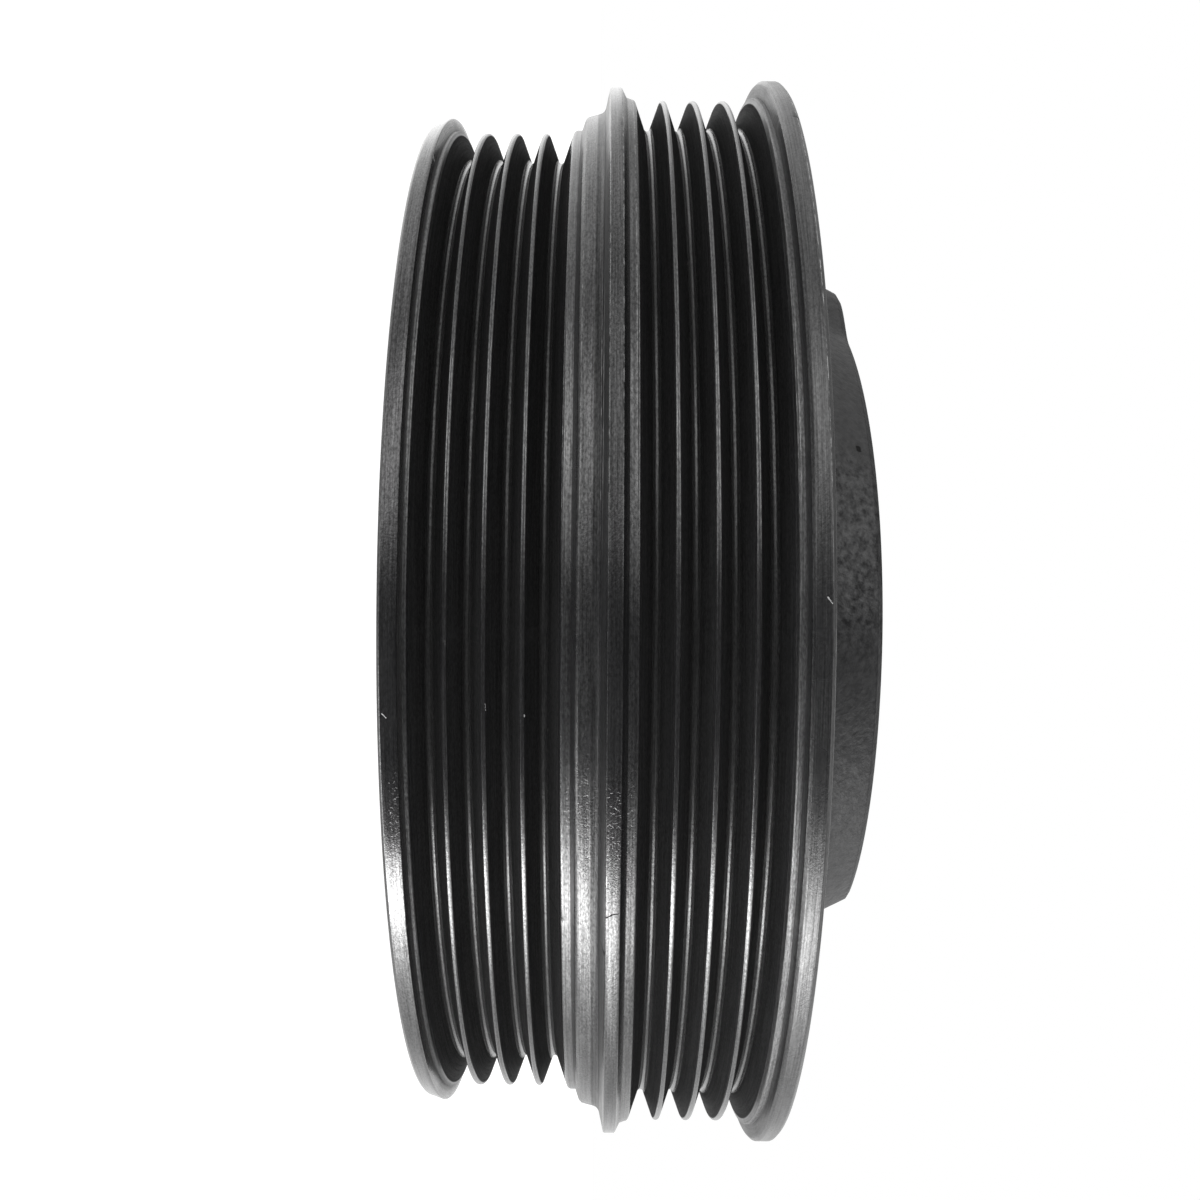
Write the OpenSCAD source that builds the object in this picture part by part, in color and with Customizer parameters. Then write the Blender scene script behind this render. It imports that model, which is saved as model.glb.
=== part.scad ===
/* [Belt tracks] */
// Distance from one rib crest to the next, the standard pitch of car multi-rib belts
rib_pitch = 3.56; // [3.4:0.02:3.7]
// Number of grooves in each of the two belt tracks
groove_count = 4; // [2:1:6]
// Full angle between the two flanks of a groove
groove_angle = 40; // [36:1:44]
// Depth of a groove below its crests
groove_depth = 3.45; // [3:0.05:3.5]
// Radius at the bottom of a groove
floor_round = 0.45; // [0.35:0.05:0.5]
// Radius on the corners of a crest
crest_round = 0.25; // [0.1:0.05:0.3]
// Radius on the corners between the middle lands and the tracks
land_round = 0.5; // [0.25:0.05:0.6]
// Diameter over the crests of the front track
front_track_d = 122.6; // [120:0.1:124]
// Diameter over the crests of the rear track
rear_track_d = 130.2; // [128:0.1:132]

/* [Flanges] */
// Diameter of the front flange at its inner edge
front_flange_d = 126; // [125.4:0.1:130]
// Width of the front flange
front_flange_w = 1.95; // [1.2:0.05:3]
// How much lower the front flange is at its outer edge
front_flange_fall = 0.5; // [0.1:0.1:1]
// Axial run of the wall inside the front flange
front_wall_run = 0.25; // [0.1:0.01:0.6]
// Width of the band between the front flange and its track
front_band_w = 0.17; // [0.1:0.01:1]
// How far that band stands above the crests
front_band_rise = 0.2; // [0.1:0.05:0.6]
// Diameter of the rear flange
rear_flange_d = 134.7; // [134.2:0.1:138]
// Width of the rear flange
rear_flange_w = 2.15; // [1.5:0.05:4]
// Axial run of the wall inside the rear flange
rear_wall_run = 0.22; // [0.1:0.01:0.6]
// Width of the band between the rear flange and its track
rear_band_w = 0.39; // [0.1:0.01:1]
// How far that band stands above the crests
rear_band_rise = 0.4; // [0.1:0.05:0.6]
// Bevel on the inner edge of the rear flange
rear_flange_bevel = 0.35; // [0.1:0.05:0.6]
// Chamfer on the outer edge of the front flange
front_chamfer = 0.3; // [0.1:0.05:0.6]
// Chamfer on the outer edge of the rear flange
rear_chamfer = 0.4; // [0.1:0.05:0.6]

/* [Middle lands] */
// Width of the low land beside the front track
low_land_w = 0.52; // [0.3:0.02:2]
// How far the low land stands above the crests of the front track
low_land_rise = 0.4; // [0.1:0.05:0.6]
// Axial run of the steep part of the bevel that climbs to the cone land
steep_run = 0.44; // [0.2:0.02:1]
// Axial run of the easy part of that bevel, at 45 degrees
easy_run = 0.31; // [0.1:0.01:0.6]
// Diameter of the cone land at its front edge
cone_land_d = 126.5; // [125.6:0.1:127.5]
// Width of the cone land
cone_land_w = 1.2; // [0.6:0.05:3]
// Rise in radius across the cone land
cone_land_rise = 0.3; // [0:0.05:0.5]
// Fillet radius at the foot of the collar
collar_fillet = 0.9; // [0.4:0.1:1.4]
// Diameter of the collar, the tallest of the middle lands
collar_d = 133.1; // [131.6:0.1:134]
// Width of the collar's top
collar_w = 1.42; // [0.8:0.02:3]
// Draft angle of the collar's front wall
collar_draft = 12; // [2:1:20]
// Axial run of the collar's rear slope
collar_rear_run = 0.5; // [0.2:0.05:1.2]
// Width of the high land, between the collar and the rear track
high_land_w = 0.57; // [0.3:0.01:2]
// How far the high land stands above the crests of the rear track
high_land_rise = 0.15; // [0.1:0.05:0.6]
// Rise in radius across the high land, towards the collar
high_land_slope = 0.2; // [0:0.05:0.4]
// Break on the two edges of the collar and on the front flange's inner edge
edge_break = 0.12; // [0.05:0.01:0.2]

/* [Ring and rubber] */
// Diameter of the bore of the pulley ring
ring_bore_d = 98; // [94:0.5:104]
// Chamfer on both ends of that bore
ring_bore_chamfer = 0.6; // [0.2:0.1:1]
// Thickness of the rubber between the ring and the hub
rubber_t = 3; // [2:0.1:4.5]
// How far the rubber lies below the front face of the ring
rubber_front_recess = 4; // [3:0.1:8]
// How far the rubber lies below the rear face of the ring
rubber_rear_recess = 2.4; // [2:0.1:6]
// Depth of the hollow that the rubber has at each end
rubber_hollow = 0.8; // [0.2:0.1:1.2]

/* [Hub] */
// How far the front of the hub rim lies below the ring's front face
rim_front_recess = 2.5; // [0.5:0.1:5]
// How far the cylindrical rim stops below the ring's rear face
rim_rear_recess = 0.8; // [0.4:0.1:1.5]
// Wall of the hub rim at its front edge
rim_wall = 5.6; // [4:0.1:8]
// Depth of the bolt seat below the ring's front face
seat_depth = 16; // [12:0.5:20]
// Depth of the web below the ring's front face
web_depth = 23; // [21:0.5:26]
// Thickness of the web, between the front dish and the rear pocket
web_t = 10; // [8:0.5:14]
// Diameter of the core at the bolt seat
core_d = 46; // [42:0.5:50]
// Break on the edges of the rim and of the bolt seat
hub_break = 0.4; // [0.2:0.1:0.8]
// Draft angle of the cast walls in the front dish and the rear pocket
dish_draft = 4; // [1:0.5:6]
// Fillet radius between the web and the walls around it
web_fillet = 2.5; // [1:0.5:3]

/* [Rear boss] */
// How far the boss stands out behind the ring
boss_reach = 9.55; // [7:0.05:12]
// Diameter of the boss at its end
boss_end_d = 82.1; // [76:0.1:84]
// Draft angle of the boss wall
boss_draft = 26.2; // [20:0.2:28]
// Distance from the axis to the flat on the boss, at its end
boss_flat = 34.4; // [32:0.1:38]
// How far the lug stands out past the round of the boss
lug_rise = 1; // [0.5:0.1:2.6]
// Angle from the middle of the lug to the end of its crest
lug_crest_angle = 18; // [8:1:24]
// Angle from the middle of the lug to its foot
lug_foot_angle = 32; // [28:1:44]
// How far the round has fallen where it meets the foot of the lug
lug_foot_fall = 2.45; // [0.5:0.05:3]
// Angle from the middle of the lug to where that fall begins
lug_fall_angle = 97; // [80:1:110]
// Least ledge left between the boss wall and the outside of the rim
rim_ledge = 0.6; // [0.1:0.1:1.2]
// Chamfer on the end edge of the boss
boss_chamfer = 0.6; // [0.2:0.1:1]
// Diameter of the pocket in the end of the boss
pocket_d = 59; // [56:0.5:60]
// Diameter of the core inside that pocket
pocket_core_d = 45; // [42:0.5:48]
// Fillet radius round the floor of the pocket
pocket_fillet = 2; // [1:0.5:3]

/* [Shaft bore] */
// Diameter of the bore that takes the nose of the crankshaft
shaft_d = 30; // [24:0.5:34]
// Width of the keyway
key_w = 6; // [4:0.5:8]
// Depth of the keyway beyond the bore
key_depth = 2.8; // [2:0.1:3.5]
// Chamfer on both ends of the bore
shaft_chamfer = 0.8; // [0.3:0.1:1.5]

/* [Tool holes] */
// Diameter of the blind holes in the web that a holding tool fits
tool_hole_d = 8; // [5:0.5:9]
// Depth of those holes below the front of the web
tool_hole_depth = 7; // [4:0.5:7]
// Diameter of the circle that those holes lie on
tool_hole_pcd = 62; // [60:0.5:64]
// Number of those holes
tool_hole_count = 4; // [2:1:6]

/* [Hidden] */

round_fn = 180;
corner_steps = 4;
floor_steps = 8;
fillet_steps = 8;
past = 1;

// Radii of the outside, from the diameters above
front_crest_r = front_track_d / 2;
rear_crest_r = rear_track_d / 2;
front_band_r = front_crest_r + front_band_rise;
rear_band_r = rear_crest_r + rear_band_rise;
low_r = front_crest_r + low_land_rise;
high_r = rear_crest_r + high_land_rise;
front_flange_r = front_flange_d / 2;
rear_flange_r = rear_flange_d / 2;
cone_r = cone_land_d / 2;
cone_top_r = cone_r + cone_land_rise;
collar_r = collar_d / 2;

// The crests keep a corner radius that the two flanks between neighbouring floors leave room for
flank = groove_angle / 2;
flank_run = floor_round * cos(flank) + (groove_depth - floor_round * (1 - sin(flank))) * tan(flank);
crest_limit = (rib_pitch / 2 - flank_run) * cos(flank) / (1 - sin(flank));
crest_r = min(crest_round, crest_limit);

// A groove's half width, measured where a corner radius starts at a height over its floor
function groove_half(height, corner) =
    floor_round * cos(flank)
    + (corner + (height - corner - floor_round * (1 - sin(flank))) * sin(flank)) / cos(flank);
front_band_half = groove_half(groove_depth + front_band_rise, crest_r);
low_land_half = groove_half(groove_depth + low_land_rise, land_round);
high_land_half = groove_half(groove_depth + high_land_rise, land_round);
rear_band_half = groove_half(groove_depth + rear_band_rise, crest_r);
track_span = (groove_count - 1) * rib_pitch;

// Axial stations of the outside, each measured from the one before it
front_band_z = front_flange_w + front_wall_run;
front_groove_z = front_band_z + front_band_w + front_band_half;
low_land_z = front_groove_z + track_span + low_land_half;
bevel_z = low_land_z + low_land_w;
cone_land_z = bevel_z + steep_run + easy_run;
fillet_z = cone_land_z + cone_land_w;
collar_wall_z = fillet_z + collar_fillet * cos(collar_draft);
collar_wall_r = cone_top_r + collar_fillet * (1 - sin(collar_draft));
collar_z = collar_wall_z + (collar_r - collar_wall_r) * tan(collar_draft);
collar_end_z = collar_z + collar_w;
high_land_z = collar_end_z + collar_rear_run;
rear_groove_z = high_land_z + high_land_w + high_land_half;
rear_band_z = rear_groove_z + track_span + rear_band_half;
rear_wall_z = rear_band_z + rear_band_w;
rear_flange_z = rear_wall_z + rear_wall_run;
ring_w = rear_flange_z + rear_flange_w;

// Radii of the inside, from the ring's bore inwards
ring_bore_r = ring_bore_d / 2;
rim_r = ring_bore_r - rubber_t;
rim_inner_r = rim_r - rim_wall;
core_r = core_d / 2;
shaft_r = shaft_d / 2;
pocket_r = pocket_d / 2;
pocket_core_r = pocket_core_d / 2;

// Axial stations of the hub
rim_end_z = ring_w - rim_rear_recess;
boss_end_z = ring_w + boss_reach;
pocket_floor_z = web_depth + web_t;

// The boss wall, drafted from a base that is sunk into the rim
boss_end_r = boss_end_d / 2;
boss_sink = 1;
boss_base_z = rim_end_z - boss_sink;
boss_h = boss_end_z - boss_base_z;
boss_limit_r = rim_r - rim_ledge;
boss_steps = 144;

// How far a fillet's centre lies from the foot of a drafted wall that it is tangent to
function fillet_inset(radius) = radius * (1 - sin(dish_draft)) / cos(dish_draft);

// An arc in the profile plane, as [radius, z] points. Angle 0 points along +z, 90 outwards
function arc(z, r, radius, from, to, steps) =
    [for (i = [0:steps]) let (a = from + (to - from) * i / steps) [r + radius * sin(a), z + radius * cos(a)]];

// The two corners of a groove, each with a height over the floor and a radius, and the round floor
function front_corner(z, floor_r, height, corner) =
    arc(z - groove_half(height, corner), floor_r + height - corner, corner, 90, flank, corner_steps);
function rear_corner(z, floor_r, height, corner) =
    arc(z + groove_half(height, corner), floor_r + height - corner, corner, 180 - flank, 90, corner_steps);
function groove_floor(z, floor_r) =
    arc(z, floor_r + floor_round, floor_round, 180 + flank, 360 - flank, floor_steps);

// A belt track: its two outermost corners stand higher than its crests, with their own radii
function track(z, top_r, front_rise, front_round, rear_rise, rear_round) = [
    for (i = [0:groove_count - 1])
        let (
            groove_z = z + i * rib_pitch,
            floor_r = top_r - groove_depth,
            first = i == 0,
            last = i == groove_count - 1,
            front_h = groove_depth + (first ? front_rise : 0),
            rear_h = groove_depth + (last ? rear_rise : 0))
        each concat(
            front_corner(groove_z, floor_r, front_h, first ? front_round : crest_r),
            groove_floor(groove_z, floor_r),
            rear_corner(groove_z, floor_r, rear_h, last ? rear_round : crest_r))];

front_flange_profile = [
    [ring_bore_r, ring_bore_chamfer],
    [ring_bore_r + ring_bore_chamfer, 0],
    [front_flange_r - front_flange_fall - front_chamfer, 0],
    [front_flange_r - front_flange_fall, front_chamfer],
    [front_flange_r, front_flange_w - edge_break],
    [front_flange_r - edge_break, front_flange_w],
    [front_band_r, front_band_z]];

middle_profile = concat(
    [
        [low_r, bevel_z],
        [cone_r - easy_run, bevel_z + steep_run],
        [cone_r, cone_land_z]],
    arc(fillet_z, cone_top_r + collar_fillet, collar_fillet, 270, 360 - collar_draft, fillet_steps),
    [
        [collar_r - edge_break, collar_z],
        [collar_r, collar_z + edge_break],
        [collar_r, collar_end_z - edge_break],
        [collar_r - edge_break, collar_end_z],
        [high_r + high_land_slope, high_land_z]]);

rear_flange_profile = [
    [rear_band_r, rear_wall_z],
    [rear_flange_r - rear_flange_bevel, rear_flange_z],
    [rear_flange_r, rear_flange_z + rear_flange_bevel],
    [rear_flange_r, ring_w - rear_chamfer],
    [rear_flange_r - rear_chamfer, ring_w],
    [ring_bore_r + ring_bore_chamfer, ring_w],
    [ring_bore_r, ring_w - ring_bore_chamfer]];

// The turned outer ring, with both belt tracks and the stepped lands between them
module pulley_ring() {
    color([0.14, 0.14, 0.15])
    rotate_extrude($fn = round_fn)
    polygon(concat(
        front_flange_profile,
        track(front_groove_z, front_crest_r, front_band_rise, crest_r, low_land_rise, land_round),
        middle_profile,
        track(rear_groove_z, rear_crest_r, high_land_rise, land_round, rear_band_rise, crest_r),
        rear_flange_profile));
}

// The rubber that joins the ring to the hub, hollowed at both ends
module rubber_ring() {
    front_z = rubber_front_recess;
    rear_z = ring_w - rubber_rear_recess;
    hollow_floor_w = rubber_t / 3;
    inner_floor_r = (rim_r + ring_bore_r - hollow_floor_w) / 2;
    outer_floor_r = inner_floor_r + hollow_floor_w;
    color([0.06, 0.06, 0.06])
    rotate_extrude($fn = round_fn)
    polygon([
        [rim_r, front_z],
        [inner_floor_r, front_z + rubber_hollow],
        [outer_floor_r, front_z + rubber_hollow],
        [ring_bore_r, front_z],
        [ring_bore_r, rear_z],
        [outer_floor_r, rear_z - rubber_hollow],
        [inner_floor_r, rear_z - rubber_hollow],
        [rim_r, rear_z]]);
}

// The dish and core of the hub, as one turned section behind which the boss stands
module hub_body() {
    rim_foot_r = rim_inner_r - (web_depth - rim_front_recess) * tan(dish_draft);
    core_foot_r = core_r + (web_depth - seat_depth) * tan(dish_draft);
    fillet_z = web_depth - web_fillet;
    rotate_extrude($fn = round_fn)
    polygon(concat(
        [
            [shaft_r, seat_depth + shaft_chamfer],
            [shaft_r + shaft_chamfer, seat_depth],
            [core_r - hub_break, seat_depth],
            [core_r, seat_depth + hub_break]],
        arc(fillet_z, core_foot_r + fillet_inset(web_fillet), web_fillet, 270 + dish_draft, 360, corner_steps),
        arc(fillet_z, rim_foot_r - fillet_inset(web_fillet), web_fillet, 0, 90 - dish_draft, corner_steps),
        [
            [rim_inner_r, rim_front_recess + hub_break],
            [rim_inner_r + hub_break, rim_front_recess],
            [rim_r - hub_break, rim_front_recess],
            [rim_r, rim_front_recess + hub_break],
            [rim_r, rim_end_z],
            [shaft_r, rim_end_z]]));
}

// Blend from 0 to 1 with level ends
function ease(t) = let (c = min(max(t, 0), 1)) c * c * (3 - 2 * c);

// Radius of the boss outline at an angle from the middle of its lug, for an end radius of boss_end_r
function boss_round(a) =
    boss_end_r
    - lug_foot_fall * ease((lug_fall_angle - a) / (lug_fall_angle - lug_foot_angle))
    + (lug_rise + lug_foot_fall) * ease((lug_foot_angle - a) / (lug_foot_angle - lug_crest_angle));
function boss_outline_r(a) = boss_round(a) * -cos(a) > boss_flat ? boss_flat / -cos(a) : boss_round(a);

// The boss outline: the lug is at -X, the flat at +X, and both sides are alike
module boss_outline(size) {
    polygon([
        for (i = [0:boss_steps - 1])
            let (turn = 360 * i / boss_steps, a = turn > 180 ? 360 - turn : turn)
            size * boss_outline_r(a) * [-cos(turn), sin(turn)]]);
}

// The boss outline as a cone-like block, whose size is given by the radius of its round at both ends
module boss_taper(base_r, end_r) {
    translate([0, 0, boss_base_z])
    linear_extrude(boss_h, scale = end_r / base_r)
    boss_outline(base_r / boss_end_r);
}

// The drafted boss, with a chamfered end edge. The chamfer is a steeper taper of the same outline
module boss() {
    wall_rise = tan(boss_draft);
    chamfer_end_r = boss_end_r - boss_chamfer;
    intersection() {
        boss_taper(boss_end_r + boss_h * wall_rise, boss_end_r);
        boss_taper(chamfer_end_r + boss_h * (1 + wall_rise), chamfer_end_r);
        translate([0, 0, boss_base_z - past])
        cylinder(r = boss_limit_r, h = boss_h + 2 * past, $fn = round_fn);
    }
}

// The annular pocket in the end of the boss
module pocket() {
    outer_foot_r = pocket_r - (boss_end_z - pocket_floor_z) * tan(dish_draft);
    fillet_z = pocket_floor_z + pocket_fillet;
    outer_fillet_r = outer_foot_r - fillet_inset(pocket_fillet);
    rotate_extrude($fn = round_fn)
    polygon(concat(
        arc(fillet_z, pocket_core_r + pocket_fillet, pocket_fillet, 270, 180, corner_steps),
        arc(fillet_z, outer_fillet_r, pocket_fillet, 180, 90 + dish_draft, corner_steps),
        [
            [pocket_r, boss_end_z],
            [pocket_r, boss_end_z + past],
            [pocket_core_r, boss_end_z + past]]));
}

module shaft_bore() {
    bore_h = boss_end_z - seat_depth + 2 * past;
    translate([0, 0, seat_depth - past])
    cylinder(r = shaft_r, h = bore_h, $fn = round_fn);
    translate([0, 0, boss_end_z - shaft_chamfer])
    cylinder(r1 = shaft_r, r2 = shaft_r + shaft_chamfer + past, h = shaft_chamfer + past, $fn = round_fn);
    translate([-shaft_r - key_depth, -key_w / 2, seat_depth - past])
    cube([shaft_r, key_w, bore_h]);
}

module tool_holes() {
    for (i = [0:tool_hole_count - 1])
        rotate(45 + i * 360 / tool_hole_count)
        translate([tool_hole_pcd / 2, 0, web_depth - past])
        cylinder(d = tool_hole_d, h = tool_hole_depth + past, $fn = 48);
}

// The cast hub: rim, dish, web and core in front, and the drafted boss behind
module hub() {
    color([0.24, 0.24, 0.25])
    difference() {
        union() {
            hub_body();
            boss();
        }
        pocket();
        shaft_bore();
        tool_holes();
    }
}

pulley_ring();
rubber_ring();
hub();
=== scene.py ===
"""Looks of a crankshaft pulley: a black-coated ring with two belt tracks, rubber and a cast hub.

The frame stands on its front face, with its axis along +Z. The photograph shows it from the side with its
axis across the picture, so the camera is turned a quarter: picture right is +Z and picture down is +X.
Angles round the axis are in degrees from the camera's side, -Y, towards +X. Lengths are in millimetres until
a mesh is made.
"""
import math
from types import SimpleNamespace

import bpy
from mathutils import Matrix, Vector


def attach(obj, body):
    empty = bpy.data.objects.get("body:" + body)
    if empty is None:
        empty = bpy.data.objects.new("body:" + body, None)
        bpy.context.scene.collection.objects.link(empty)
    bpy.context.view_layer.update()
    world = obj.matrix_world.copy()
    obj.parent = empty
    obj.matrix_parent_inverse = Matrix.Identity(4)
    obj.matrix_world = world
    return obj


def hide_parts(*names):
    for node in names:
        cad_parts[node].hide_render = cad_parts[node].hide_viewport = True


MM = 0.001

# Camera, as fitted to the photograph. Its angles are in radians, and its clip distances in metres
PICTURE_WIDTH_PX = 1200
FOCAL_PX = 1318.57
SENSOR_WIDTH = 36.0
CAMERA_DISTANCE = 180.63
CAMERA_HEIGHT = 20.51
CAMERA_YAW = 0.00333
CAMERA_PITCH = 0.00657
CAMERA_ROLL = 0.00726
CLIP_START = 0.01
CLIP_END = 20

# Belt tracks
RIB_PITCH = 3.56
GROOVE_COUNT = 4
TRACK_SPAN = (GROOVE_COUNT - 1) * RIB_PITCH
FLANK = math.radians(20)
GROOVE_DEPTH = 3.45
FLOOR_ROUND = 0.45
CREST_ROUND = 0.25
LAND_ROUND = 0.5
FRONT_CREST_R = 61.3
REAR_CREST_R = 65.1
FRONT_BAND_RISE = 0.2
LOW_LAND_RISE = 0.4
HIGH_LAND_RISE = 0.15
REAR_BAND_RISE = 0.4

# Flanges and the ring's bore
FRONT_FLANGE_R = 63.0
FRONT_FLANGE_W = 1.95
FRONT_FLANGE_FALL = 0.5
FRONT_CHAMFER = 0.3
REAR_FLANGE_R = 67.35
REAR_FLANGE_W = 2.15
REAR_CHAMFER = 0.4
REAR_BEVEL = 0.35
RING_BORE_R = 49.0
RING_BORE_CHAMFER = 0.6

# Bands, lands and the collar between the tracks
FRONT_WALL_RUN = 0.25
FRONT_BAND_W = 0.17
LOW_LAND_W = 0.52
STEEP_RUN = 0.44
EASY_RUN = 0.31
CONE_R = 63.25
CONE_W = 1.2
CONE_RISE = 0.3
CONE_TOP_R = CONE_R + CONE_RISE
COLLAR_FILLET = 0.9
COLLAR_DRAFT = math.radians(12)
COLLAR_R = 66.55
COLLAR_W = 1.42
COLLAR_REAR_RUN = 0.5
HIGH_LAND_W = 0.57
HIGH_LAND_SLOPE = 0.2
REAR_BAND_W = 0.39
REAR_WALL_RUN = 0.22
EDGE_BREAK = 0.12


def groove_half(height, corner):
    """Half the width of a groove, where a corner radius starts at a height over its floor."""
    straight = height - corner - FLOOR_ROUND * (1 - math.sin(FLANK))
    return FLOOR_ROUND * math.cos(FLANK) + (corner + straight * math.sin(FLANK)) / math.cos(FLANK)


# Stations along the axis, each measured from the one before it
FRONT_BAND_Z = FRONT_FLANGE_W + FRONT_WALL_RUN
FRONT_GROOVE_Z = FRONT_BAND_Z + FRONT_BAND_W + groove_half(GROOVE_DEPTH + FRONT_BAND_RISE, CREST_ROUND)
LOW_LAND_Z = FRONT_GROOVE_Z + TRACK_SPAN + groove_half(GROOVE_DEPTH + LOW_LAND_RISE, LAND_ROUND)
BEVEL_Z = LOW_LAND_Z + LOW_LAND_W
CONE_Z = BEVEL_Z + STEEP_RUN + EASY_RUN
FILLET_Z = CONE_Z + CONE_W
COLLAR_WALL_Z = FILLET_Z + COLLAR_FILLET * math.cos(COLLAR_DRAFT)
COLLAR_WALL_R = CONE_TOP_R + COLLAR_FILLET * (1 - math.sin(COLLAR_DRAFT))
COLLAR_Z = COLLAR_WALL_Z + (COLLAR_R - COLLAR_WALL_R) * math.tan(COLLAR_DRAFT)
COLLAR_END_Z = COLLAR_Z + COLLAR_W
HIGH_LAND_Z = COLLAR_END_Z + COLLAR_REAR_RUN
REAR_GROOVE_Z = HIGH_LAND_Z + HIGH_LAND_W + groove_half(GROOVE_DEPTH + HIGH_LAND_RISE, LAND_ROUND)
REAR_BAND_Z = REAR_GROOVE_Z + TRACK_SPAN + groove_half(GROOVE_DEPTH + REAR_BAND_RISE, CREST_ROUND)
REAR_WALL_Z = REAR_BAND_Z + REAR_BAND_W
REAR_FLANGE_Z = REAR_WALL_Z + REAR_WALL_RUN
RING_W = REAR_FLANGE_Z + REAR_FLANGE_W

# Hub
RIM_R = 46.0
RIM_INNER_R = 40.4
RIM_FRONT_Z = 2.5
RIM_END_Z = RING_W - 0.8
SEAT_DEPTH = 16.0
WEB_DEPTH = 23.0
CORE_R = 23.0
HUB_BREAK = 0.4
DISH_DRAFT = math.radians(4)
WEB_FILLET = 2.5
SHAFT_R = 15.0
SHAFT_CHAMFER = 0.8
KEY_HALF_W = 3.0
KEY_DEPTH = 2.8
TOOL_HOLE_R = 4.0
TOOL_HOLE_DEPTH = 7.0
TOOL_HOLE_CIRCLE_R = 31.0
TOOL_HOLE_COUNT = 4
TOOL_HOLE_START_ANGLE = 45
CUTTER_PROUD = 1.0

# Boss
BOSS_END_Z = RING_W + 9.55
BOSS_END_R = 41.05
BOSS_DRAFT = math.radians(26.2)
BOSS_FLAT = 34.4
BOSS_CHAMFER = 0.6
BOSS_LIMIT_R = 45.4
LUG_RISE = 1.0
LUG_CREST_ANGLE = 18.0
LUG_FOOT_ANGLE = 32.0
LUG_FOOT_FALL = 2.45
LUG_FALL_ANGLE = 97.0
POCKET_R = 29.5
POCKET_CORE_R = 22.5
POCKET_FLOOR_Z = 33.0
POCKET_FILLET = 2.0

# Fineness of the turned pieces
COLUMN_STEP = 1.25
LAND_STEP = 0.35
CORNER_STEPS = 4
FLOOR_STEPS = 8
COLLAR_FILLET_STEPS = 8
WEB_FILLET_STEPS = 5
POCKET_FILLET_STEPS = 4
BOSS_WALL_ROWS = 10
TOOL_HOLE_SIDES = 48
CORNER_EASE = 0.05
SHARP_EDGE_ANGLE = 35

# Kinds of corner in a profile
SMOOTH, SHARP, EASED = "smooth", "sharp", "eased"


def photo_to_frame(v):
    """A direction with x right, y away and z up in the photograph, in the frame's axes."""
    return Vector((-v.z, v.y, v.x))


def add_camera():
    """The camera: turned a little in yaw and pitch, then rolled about its own view."""
    cy, sy = math.cos(CAMERA_YAW), math.sin(CAMERA_YAW)
    cp, sp = math.cos(CAMERA_PITCH), math.sin(CAMERA_PITCH)
    cr, sr = math.cos(CAMERA_ROLL), math.sin(CAMERA_ROLL)
    level_right = Vector((cy, sy, 0))
    ahead = Vector((-cp * sy, cp * cy, sp))
    level_up = Vector((sp * sy, -sp * cy, cp))
    right = cr * level_right + sr * level_up
    up = cr * level_up - sr * level_right
    data = bpy.data.cameras.new("camera")
    data.sensor_width = SENSOR_WIDTH
    data.lens = SENSOR_WIDTH * FOCAL_PX / PICTURE_WIDTH_PX
    data.clip_start = CLIP_START
    data.clip_end = CLIP_END
    camera = bpy.data.objects.new("camera", data)
    axes = [photo_to_frame(v) for v in (right, up, -ahead)]
    place = Matrix(axes).transposed().to_4x4()
    place.translation = Vector((0, -CAMERA_DISTANCE * MM, CAMERA_HEIGHT * MM))
    camera.matrix_world = place
    bpy.context.scene.collection.objects.link(camera)
    bpy.context.scene.camera = camera


def plain_mesh(name, points, faces):
    mesh = bpy.data.meshes.new(name)
    mesh.from_pydata(points, [], faces)
    obj = bpy.data.objects.new(name, mesh)
    bpy.context.scene.collection.objects.link(obj)
    return obj


# Shader helpers. A value is a number or a socket


def calc(tree, operation, *values, clamp=False):
    node = tree.nodes.new("ShaderNodeMath")
    node.operation = operation
    node.use_clamp = clamp
    for socket, value in zip(node.inputs, values):
        if isinstance(value, (int, float)):
            socket.default_value = value
        else:
            tree.links.new(value, socket)
    return node.outputs[0]


def plus(tree, total, *others):
    for other in others:
        total = calc(tree, "ADD", total, other)
    return total


def minus(tree, first, second):
    return calc(tree, "SUBTRACT", first, second)


def times(tree, product, *others):
    for other in others:
        product = calc(tree, "MULTIPLY", product, other)
    return product


def highest(tree, top, *others):
    for other in others:
        top = calc(tree, "MAXIMUM", top, other)
    return top


def spread(tree, value, low, high, to_low=0.0, to_high=1.0, smooth=False):
    """A value carried from one range to another, and held at its ends."""
    node = tree.nodes.new("ShaderNodeMapRange")
    node.interpolation_type = "SMOOTHSTEP" if smooth else "LINEAR"
    tree.links.new(value, node.inputs["Value"])
    node.inputs["From Min"].default_value = low
    node.inputs["From Max"].default_value = high
    node.inputs["To Min"].default_value = to_low
    node.inputs["To Max"].default_value = to_high
    return node.outputs["Result"]


def window(tree, value, low, high, soft):
    """1 between two values and 0 beyond them, with soft ends."""
    rise = spread(tree, value, low - soft, low + soft, smooth=True)
    fall = spread(tree, value, high - soft, high + soft, 1.0, 0.0, smooth=True)
    return times(tree, rise, fall)


def windows(tree, value, ranges):
    """1 in any of several windows that lie apart."""
    return plus(tree, *(window(tree, value, *ends) for ends in ranges))


def dimmed(tree, value, mask, factor):
    """A value, times a factor where the mask is 1."""
    return times(tree, value, spread(tree, mask, 0, 1, 1, factor))


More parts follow.
